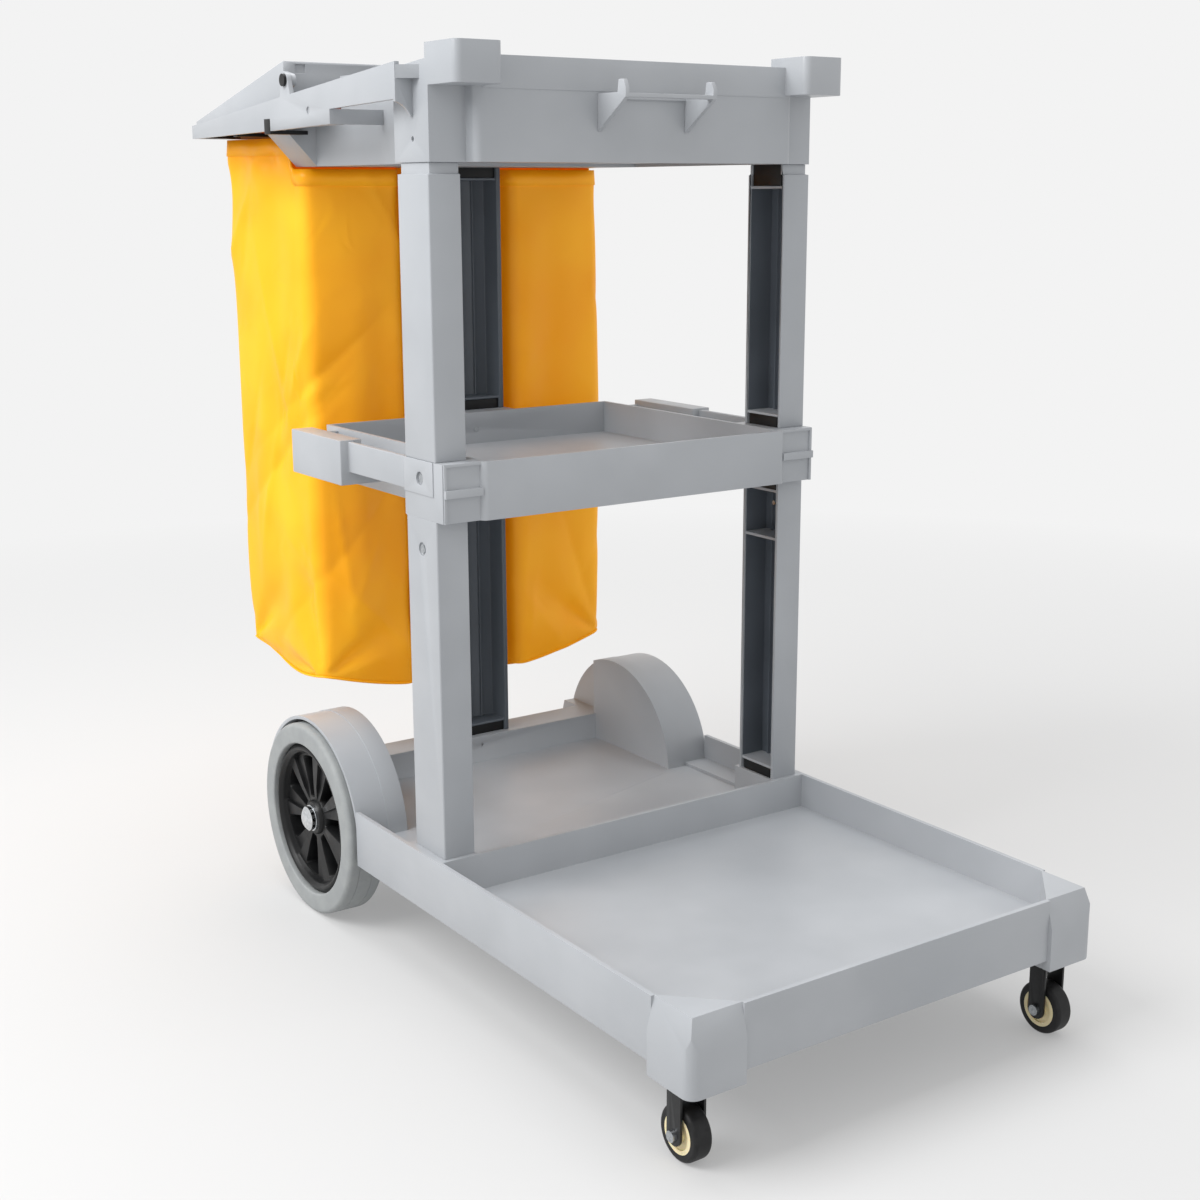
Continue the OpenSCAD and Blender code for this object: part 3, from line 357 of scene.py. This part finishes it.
def roundedOutline(corners, radii, count):
    # a closed outline with an arc at each corner, then count points at equal steps along it
    p = np.array(corners, float)
    pieces = []
    for i, r in enumerate(radii):
        a, b, c = p[i - 1], p[i], p[(i + 1) % len(p)]
        u, v = (a - b) / np.linalg.norm(a - b), (c - b) / np.linalg.norm(c - b)
        half = math.acos(np.clip(u @ v, -1, 1)) / 2
        w = (u + v) / np.linalg.norm(u + v)
        centre = b + w * r / math.sin(half)
        start, end = b + u * r / math.tan(half) - centre, b + v * r / math.tan(half) - centre
        t = np.linspace(0, 1, 9)[:, None]
        span = math.pi - 2 * half
        pieces.append(centre + (np.sin((1 - t) * span) * start + np.sin(t * span) * end) / math.sin(span))
    line = np.concatenate(pieces)
    line = np.vstack([line, line[:1]])
    run = np.concatenate([[0], np.cumsum(np.linalg.norm(np.diff(line, axis=0), axis=1))])
    at = np.linspace(0, run[-1], count, endpoint=False)
    return np.stack([np.interp(at, run, line[:, k]) for k in (0, 1)], 1), at, run[-1]


def bagPoints():
    # walls: the outline at each height, moved out by a belly and by folds; below them a sagging bottom that
    # runs from the outline in to the middle, lower there by sag times one less the square of the share left
    b = bagShape
    corners = [(b["frontRight"], b["front"]), (b["rearHalf"], b["rear"]), (-b["rearHalf"], b["rear"]),
               (-b["frontLeft"], b["front"]), (-b["postHalf"] - b["postTurn"], b["front"]),
               (-b["postHalf"], b["behindPost"]), (b["postHalf"], b["behindPost"]),
               (b["postHalf"] + b["postTurn"], b["front"])]
    line, run, around = roundedOutline(corners, b["cornerRadii"], b["columns"])
    ahead = np.roll(line, -1, 0) - np.roll(line, 1, 0)
    out = np.stack([ahead[:, 1], -ahead[:, 0]], 1) / np.linalg.norm(ahead, axis=1, keepdims=True)
    deep = b["rear"] - b["front"]
    edge = b["frontEdge"] + (b["rearEdge"] - b["frontEdge"]) * (line[:, 1] - b["front"]) / deep
    far = (line[:, 1] - b["front"]) / deep  # 0 at the front wall, 1 at the rear wall
    farWithin = far.clip(0, 1)
    halfHere = np.where(line[:, 0] > 0, b["frontRight"], b["frontLeft"]) * (1 - far) + b["rearHalf"] * far
    across = (np.abs(line[:, 0]) / halfHere).clip(0, 1)
    edge = edge - b["dip"] * np.maximum(np.cos(math.pi / 2 * across ** 1.3),
                                        0.55 * np.sin(math.pi * farWithin))
    share = np.linspace(0, 1, b["wallRows"])[:, None]  # 0 at the hem, 1 at the bottom edge
    hang = b["top"] - (b["top"] - b["underBeam"]) * np.clip((0.346 - line[:, 1]) / 0.006, 0, 1)
    z = hang[None] + (edge[None] - hang[None]) * share
    # where the upright stands in front
    behind = np.exp(-(line[:, 0] / 0.075) ** 4)[None] * (line[:, 1] < 0.36)
    free = np.sin(math.pi * share.clip(0, 1)) ** 0.8 * (1 - behind)
    bulge = b["belly"] * np.sin(math.pi * share ** 1.35) * (1 - behind)
    angle = 2 * math.pi * run[None] / around
    folds = np.zeros_like(z)
    for waves, depth, drift in b["waves"]:
        phase = rng.uniform(0, 2 * math.pi, 2)
        folds += depth * np.cos(waves * angle + phase[0] + drift * np.sin(2.2 * share + phase[1]))
    folds *= free * (0.55 + 0.45 * share)
    # folds that fan out from each bottom corner and hang from each clip
    at = np.array(corners[:4])
    for i, corner in enumerate(at):
        k = np.argmin(np.linalg.norm(line - corner, axis=1))
        along = (run - run[k] + around / 2) % around - around / 2
        up = z - edge[k]
        reach = np.hypot(along[None], up)
        fan = np.arctan2(up, along[None])
        rays = np.abs(np.cos(2.5 * fan + 0.6 * i)) ** 5
        folds -= b["cornerFold"] * (reach / 0.05) * np.exp(-reach / 0.055) * rays * (1 - behind)
    for x, y in b["clips"]:
        k = np.argmin(np.linalg.norm(line - np.array([x, y]), axis=1))
        along = (run - run[k] + around / 2) % around - around / 2
        down = b["top"] - z
        fan = along[None] / (down + 0.02)
        fade = np.exp(-down / 0.11) * (down / 0.03).clip(0, 1)
        folds -= b["clipFold"] * fade * np.cos(4.2 * fan) * np.exp(-fan ** 2 / 2)
    # soft creases: straight strokes on the unrolled cloth, each a ridge that falls off to its sides
    # and its ends
    for k in range(b["creases"]):
        centreRun = rng.uniform(0, around)
        centreZ = rng.uniform(edge.min() + 0.03, b["top"] - 0.06)
        lean = rng.normal(0.5 * math.pi, 0.55)
        long, wide = rng.uniform(0.05, 0.17), rng.uniform(0.006, 0.017)
        u = (run[None] - centreRun + around / 2) % around - around / 2
        v = z - centreZ
        lengthwise = u * math.cos(lean) + v * math.sin(lean)
        sideways = v * math.cos(lean) - u * math.sin(lean)
        ridge = np.exp(-np.abs(sideways) / wide) * np.exp(-(lengthwise / long) ** 2)
        folds += rng.choice([-1, 1]) * rng.uniform(0.0018, 0.0060) * ridge * (1 - behind)
    move = bulge + folds + b["flare"] * share * (1 - behind) * (1 - farWithin)[None]
    wall = np.concatenate([line[None] + out[None] * move[..., None], z[..., None]], 2)
    left = np.linspace(1, 0.02, b["bottomRows"])[1:, None]
    middle = np.array([0, (b["front"] + b["rear"]) / 2])
    low = wall[-1]
    xy = middle + (low[None, :, :2] - middle) * left[..., None]
    puckers = b["pucker"] * np.sin(11 * angle + 1.3) * np.sin(math.pi * left)
    floorLevel = (b["frontEdge"] - 0.002) * (1 - left ** 2)
    zBottom = low[None, :, 2] * left ** 2 + floorLevel - b["sag"] * (1 - left ** 2.4) + puckers
    bottom = np.concatenate([xy, zBottom[..., None]], 2)
    return np.concatenate([wall, bottom]), run, around


def settleCloth(piece, pinned, frames=14):
    # a short cloth run: the hem is held, the coated cloth is stiff and sinks a little under its own weight
    group = piece.vertex_groups.new(name="hem")
    group.add(pinned, 1.0, "REPLACE")
    cloth = piece.modifiers.new("cloth", "CLOTH")
    c = cloth.settings
    c.quality, c.mass = 6, 0.0004
    c.tension_stiffness = c.compression_stiffness = 35
    c.shear_stiffness, c.bending_stiffness = 18, 2.2
    c.tension_damping = c.compression_damping = c.shear_damping = 12
    c.vertex_group_mass = "hem"
    c.use_pressure, c.uniform_pressure_force = True, 0.25
    cloth.collision_settings.use_collision = False
    scene = bpy.context.scene
    before = np.array([v.co for v in piece.data.vertices])
    for step in range(1, frames + 1):
        scene.frame_set(step)
    applyModifiers(piece)
    scene.frame_set(1)
    after = np.empty(len(piece.data.vertices) * 3)
    piece.data.vertices.foreach_get("co", after)
    after = after.reshape(-1, 3)
    move = after - before
    size = np.linalg.norm(move, axis=1, keepdims=True)
    after = before + move * np.minimum(1, bagShape["largestMove"] / np.maximum(size, 1e-9))
    piece.data.vertices.foreach_set("co", after.ravel())
    piece.data.update()
    return after


def makeBag():
    b = bagShape
    grid, run, around = bagPoints()
    rows, cols = grid.shape[:2]
    points = np.vstack([grid.reshape(-1, 3), grid[-1].mean(0)[None]])
    quads = gridFaces(rows, cols)[:, ::-1]
    last = (rows - 1) * cols + np.arange(cols)
    cap = np.stack([last, np.roll(last, -1), np.full(cols, rows * cols), np.full(cols, rows * cols)], 1)
    mesh = bpy.data.meshes.new("waste_bag_cloth")
    mesh.from_pydata(points.tolist(), [], quads.tolist() + [list(q[:3]) for q in cap[:, [1, 0, 2, 3]]])
    bag = bpy.data.objects.new("waste_bag_cloth", mesh)
    bpy.context.scene.collection.objects.link(bag)
    hemRows = max(2, int(b["hem"] / (b["top"] - b["rearEdge"]) * b["wallRows"]) + 1)
    points = settleCloth(bag, list(range(hemRows * cols)))
    # the cloth stays behind the upright
    points[:, 1] = np.where(np.abs(points[:, 0]) < b["postHalf"] - 0.003,
                            np.maximum(points[:, 1], b["nearest"]), points[:, 1])
    bag.data.vertices.foreach_set("co", points.ravel())
    loopVerts = np.empty(len(bag.data.loops), int)
    bag.data.loops.foreach_get("vertex_index", loopVerts)
    grid = points[:-1].reshape(rows, cols, 3)
    step = np.linalg.norm(np.diff(grid, axis=0), axis=2).mean(1)
    down = np.concatenate([[0], np.cumsum(step)])
    flatUv = np.stack(np.broadcast_arrays(run[None], down[:, None]), 2).reshape(-1, 2)
    flatUv = np.vstack([flatUv, [[0, down[-1]]]])
    cloth = bag.data.uv_layers.new(name="cloth")
    cloth.data.foreach_set("uv", flatUv[loopVerts].ravel())
    bag.data.materials.append(materials["yellow_vinyl"])
    bag.data.shade_smooth()
    useModifier(bag, "SOLIDIFY", thickness=b["thickness"], offset=-1.0)
    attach(bag, "cart")
    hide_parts("waste_bag")
    # welt along the bottom edge: a thin round bead carried along the edge's points
    edge = grid[b["wallRows"] - 1]
    welt = sweptBead("bag_welt", edge, b["weltRadius"], 8, "yellow_vinyl", "cart")
    # folded hem: a second layer just outside the first rows
    ahead = np.roll(grid[0], -1, 0) - np.roll(grid[0], 1, 0)
    out = np.stack([ahead[:, 1], -ahead[:, 0], np.zeros(cols)], 1)
    out /= np.linalg.norm(out, axis=1, keepdims=True)
    near, away = out * b["hemGap"], out * b["hemOut"]
    band = np.stack([grid[0] + near, grid[0] + away, grid[hemRows] + away, grid[hemRows] + near])
    hem = meshPiece("bag_hem", band, gridFaces(4, cols)[:, ::-1], "yellow_vinyl", "cart")


def sweptBead(name, path, radius, sides, slot, body):
    # a closed bead: round sections square to the path's own direction
    ahead = np.roll(path, -1, 0) - np.roll(path, 1, 0)
    ahead /= np.linalg.norm(ahead, axis=1, keepdims=True)
    side = np.cross(ahead, [0, 0, 1])
    side /= np.linalg.norm(side, axis=1, keepdims=True)
    rise = np.cross(side, ahead)
    t = np.linspace(0, 2 * math.pi, sides, endpoint=False)
    sideways, upwards = np.cos(t)[None, :, None] * side[:, None], np.sin(t)[None, :, None] * rise[:, None]
    ring = path[:, None] + radius * (sideways + upwards)
    ring = np.vstack([ring, ring[:1]])
    return meshPiece(name, ring, gridFaces(len(ring), sides), slot, body)


makeBag()
print("bag hung")

# fittings that show at close range

def revolved(name, profile, centre, slot, body, replaced=(), count=96):
    # a profile of (distance along the axle, radius) points turned about an axle along X
    p = np.array(profile, float)
    t = np.linspace(0, 2 * math.pi, count, endpoint=False)
    x = np.broadcast_to(centre[0] + p[:, 0, None], (len(p), count))
    y = centre[1] + p[:, 1, None] * np.cos(t)
    z = centre[2] + p[:, 1, None] * np.sin(t)
    piece = meshPiece(name, np.stack([x, y, z], 2), gridFaces(len(p), count), slot, body, replaced)
    shape = bmesh.new()
    shape.from_mesh(piece.data)
    bmesh.ops.remove_doubles(shape, verts=shape.verts, dist=1e-6)
    bmesh.ops.recalc_face_normals(shape, faces=shape.faces)
    shape.to_mesh(piece.data)
    shape.free()
    piece.data.set_sharp_from_angle(angle=math.radians(35))
    return piece


def arc(cx, cr, radius, start, end, count=9):
    # points of an arc in the profile's plane, angles in degrees from the axle's direction
    t = np.radians(np.linspace(start, end, count))
    return np.stack([cx + radius * np.cos(t), cr + radius * np.sin(t)], 1)


tyreShape = {"shoulder": 0.0055, "lip": 0.0022, "grooves": (-0.009, 0.009), "grooveDepth": 0.0009,
             "grooveWidth": 0.0016, "count": 128}


def rearTyre(side):
    # flat walls, round shoulders, two fine mould grooves in the tread and a bead where rubber meets hub
    name = "wheel_tyre_right" if side > 0 else "wheel_tyre_left"
    low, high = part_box(name)
    radius, half = (high.z - low.z) / 2, (high.x - low.x) / 2
    hubLow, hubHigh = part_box(name.replace("tyre", "hub"))
    inner = (hubHigh.z - hubLow.z) / 2
    centre = ((low.x + high.x) / 2, (low.y + high.y) / 2, (low.z + high.z) / 2)
    t = tyreShape
    s, lip = t["shoulder"], t["lip"]
    tread = [np.array([[g - t["grooveWidth"] / 2, radius], [g, radius - t["grooveDepth"]],
                       [g + t["grooveWidth"] / 2, radius]]) for g in t["grooves"]]
    profile = np.vstack([[[0, inner]], [[-half + lip, inner]], arc(-half + lip, inner + lip, lip, 270, 180),
                         arc(-half + s, radius - s, s, 180, 90), *tread, arc(half - s, radius - s, s, 90, 0),
                         arc(half - lip, inner + lip, lip, 0, -90), [[0, inner]]])
    body = "wheel_right" if side > 0 else "wheel_left"
    revolved(name + "_turned", profile, centre, "grey_rubber", body, [name], t["count"])


hubShape = {"blades": 7, "rim": 0.0135, "dish": 0.011, "window": 0.44, "boss": 0.021, "depth": 0.022,
            "bore": 0.0062, "wall": 0.0024, "edge": 0.0004, "windowRamp": 0.035, "ringRamp": 0.003,
            "bossClear": 0.004, "twist": 0.004, "twistRun": 0.02, "lipRamp": 0.002, "rimMid": 0.0035,
            "rimRise": 0.0022, "bossFace": 0.0065, "bossRamp": 0.0015, "barrelStart": 0.006,
            "barrelRows": 10, "barrelBack": 0.001, "count": 420}


def rearHub(side):
    # rolled rim, dished ring and blades between wedge windows, all one height map over angle and radius:
    # the height drops smoothly from blade to window, and the ring's lip is a raised cosine
    name = "wheel_hub_right" if side > 0 else "wheel_hub_left"
    body = "wheel_right" if side > 0 else "wheel_left"
    low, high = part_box(name)
    radius = (high.z - low.z) / 2
    face = high.x if side > 0 else -low.x
    h = hubShape
    r = np.concatenate([np.linspace(h["bore"], h["boss"], 14),
                        np.linspace(h["boss"] + h["edge"], radius - h["rim"], 60)[1:],
                        np.linspace(radius - h["rim"], radius - h["edge"], 26)[1:]])
    t = np.linspace(0, 2 * math.pi, h["count"], endpoint=False)
    reach, spin = np.meshgrid(r, t, indexing="ij")
    turn = (spin * h["blades"] / (2 * math.pi)) % 1
    # share of the way into a window, with straight sides and a sharp ramp
    into = np.clip((h["window"] / 2 - np.abs(turn - 0.5)) / h["windowRamp"], 0, 1)
    ringIn = np.clip((radius - h["rim"] - h["ringRamp"] - reach) / h["ringRamp"], 0, 1)
    ringIn = ringIn * np.clip((reach - h["boss"] - h["bossClear"]) / h["ringRamp"], 0, 1)
    blade = -h["dish"] - h["twist"] * (0.5 - turn) * np.clip((reach - h["boss"]) / h["twistRun"], 0, 1)
    depth = blade - h["depth"] * into * ringIn
    lip = np.clip((reach - (radius - h["rim"])) / h["lipRamp"], 0, 1)
    acrossRim = ((reach - radius + h["rim"] / 2) / (h["rim"] / 2)).clip(-1, 1)
    rim = -h["rimMid"] + h["rimRise"] * np.cos(math.pi * acrossRim)
    depth = depth * (1 - lip) + rim * lip
    boss = np.clip((h["boss"] - reach) / h["bossRamp"], 0, 1)
    depth = depth * (1 - boss) - h["bossFace"] * boss
    # the barrel the tyre sits on, straight back from the rim, and a lip turned in at its end
    width = high.x - low.x
    rows, end = h["barrelRows"], -width + h["barrelBack"]
    barrel = np.linspace(-h["barrelStart"], end, rows)[:, None] * np.ones(len(t))
    reach = np.vstack([reach, np.full((rows, len(t)), radius - h["edge"]),
                       np.full((1, len(t)), radius - h["barrelStart"])])
    spin = np.vstack([spin, np.repeat(spin[:1], rows + 1, axis=0)])
    depth = np.vstack([depth, barrel, np.full((1, len(t)), end)])
    x = side * (face + depth)
    y = (low.y + high.y) / 2 + reach * np.cos(spin)
    z = (low.z + high.z) / 2 + reach * np.sin(spin)
    faces = gridFaces(len(reach), len(t))
    piece = meshPiece(name + "_bladed", np.stack([x, y, z], 2), faces if side < 0 else faces[:, ::-1],
                      "black_plastic", body, [name])
    useModifier(piece, "SOLIDIFY", thickness=h["wall"], offset=-1.0)
    applyModifiers(piece)
    piece.data.set_sharp_from_angle(angle=math.radians(38))


# sizes of the dark strips that paint shade inside the uprights' channels
shadeStripShape = {"clear": 0.0004, "wall": 0.0012, "rib": 0.0028, "ribHalf": 0.0012,
              "ribAt": (-0.014, 0.0, 0.014), "lip": 0.002, "postWall": 0.0035, "lowerSpans": ((0.1735, 0.4465), (0.4505, 0.5025)),
              "upperSpan": (0.5935, 0.8425)}


def channelShadeStrip(post, side, z0, z1):
    # painted shade: a dark charcoal strip set into the upright's channel where shade falls; its outline runs
    # in along one flange, across the web with three pressed ribs, and out along the other flange, carried
    # straight up
    low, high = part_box(post)
    q = shadeStripShape
    t = q["postWall"] + q["clear"]
    y0, y1 = low.y + t, high.y - t
    middle = (y0 + y1) / 2
    mouth, web = (low.x + q["lip"], high.x - t) if side > 0 else (high.x - q["lip"], low.x + t)
    inwards = -1 if side > 0 else 1
    line = [(mouth, y0), (web, y0)]
    for k in q["ribAt"]:
        line += [(web, middle + k - 2 * q["ribHalf"]), (web + inwards * q["rib"], middle + k - q["ribHalf"]),
                 (web + inwards * q["rib"], middle + k + q["ribHalf"]), (web, middle + k + 2 * q["ribHalf"])]
    line += [(web, y1), (mouth, y1)]
    line = np.array(line)
    rise = np.linspace(z0, z1, 6)
    points = np.stack([np.column_stack([line, np.full(len(line), z)]) for z in rise])
    faces = gridFaces(len(rise), len(line), closed=False)
    piece = meshPiece("%s_liner_%d" % (post, round(z0 / mm)), points, faces if side > 0 else faces[:, ::-1],
                      "charcoal_plastic", "cart", smooth=False)
    useModifier(piece, "SOLIDIFY", thickness=q["wall"], offset=1.0)
    applyModifiers(piece)


# dark strips of painted shade inside the front uprights' channels
for side, word in ((-1, "left"), (1, "right")):
    for span in shadeStripShape["lowerSpans"]:
        channelShadeStrip("lower_post_" + word, side, *span)
    channelShadeStrip("upper_post_" + word, side, *shadeStripShape["upperSpan"])
for side in (-1, 1):
    rearTyre(side)
    rearHub(side)
print("fittings made")

# floor, light and camera

studio = {"floorSize": 60, "floorTone": "#c4c4c4", "ownLight": 0.30, "backTone": "#f3f3f3",
          "fadeFrom": 0.9, "fadeTo": 2.8,
          "softboxes": (("key_left", (-2.4, 0.3, 2.6), (0, 0, 0.5), (2.0, 1.8), 88),
                        ("top_fill", (0.0, 0.6, 3.2), (0, 0, 0.3), (2.4, 2.4), 46))}


def studioFloor():
    # a wide sheet whose own tone gives way to the backdrop's with distance, so no horizon shows
    s = studio["floorSize"] / 2
    mesh = bpy.data.meshes.new("studio_floor")
    mesh.from_pydata([(-s, -s, 0), (s, -s, 0), (s, s, 0), (-s, s, 0)], [], [(0, 1, 2, 3)])
    floor = bpy.data.objects.new("studio_floor", mesh)
    bpy.context.scene.collection.objects.link(floor)
    mat, tree, out, place = newMaterial("pale studio floor")
    far = addNode(tree, "ShaderNodeVectorMath", {0: place}, operation="LENGTH").outputs["Value"]
    paper = addNode(tree, "ShaderNodeBsdfDiffuse", Color=fromHex(studio["floorTone"]))
    back = addNode(tree, "ShaderNodeEmission", Color=fromHex(studio["backTone"]), Strength=1.0)
    both = addNode(tree, "ShaderNodeMixShader",
                   {0: remap(tree, far, studio["fadeFrom"], studio["fadeTo"], studio["ownLight"], 1),
                    1: paper.outputs[0], 2: back.outputs[0]})
    tree.links.new(both.outputs[0], out.inputs["Surface"])
    mesh.materials.append(mat)


def softbox(name, place, target, size, power):
    light = bpy.data.lights.new(name, "AREA")
    light.shape, light.size, light.size_y, light.energy = "RECTANGLE", size[0], size[1], power
    lamp = bpy.data.objects.new(name, light)
    bpy.context.scene.collection.objects.link(lamp)
    lamp.location = place
    lamp.rotation_euler = (Vector(target) - Vector(place)).to_track_quat("-Z", "Y").to_euler()


def studioLight():
    world = bpy.data.worlds.new("studio")
    bpy.context.scene.world = world
    world.use_nodes = True
    back = world.node_tree.nodes["Background"]
    back.inputs["Color"].default_value = fromHex(studio["backTone"])
    back.inputs["Strength"].default_value = 1.0
    for lamp in studio["softboxes"]:
        softbox(*lamp)


view = {"place": (-1.0865, -1.5617, 0.8428), "ahead": (0.5528, 0.8014, -0.2284), "roll": -0.2, "lens": 52.5}


def studioCamera():
    data = bpy.data.cameras.new("camera")
    camera = bpy.data.objects.new("camera", data)
    bpy.context.scene.collection.objects.link(camera)
    data.lens, data.sensor_width, data.clip_start = view["lens"], 36, 0.02
    turn = Vector(view["ahead"]).to_track_quat("-Z", "Y") @ Quaternion((0, 0, 1), math.radians(view["roll"]))
    camera.location = view["place"]
    camera.rotation_euler = turn.to_euler()
    bpy.context.scene.camera = camera


studioFloor()
studioLight()
studioCamera()
bpy.context.scene.view_settings.view_transform = "Standard"
print("studio ready")
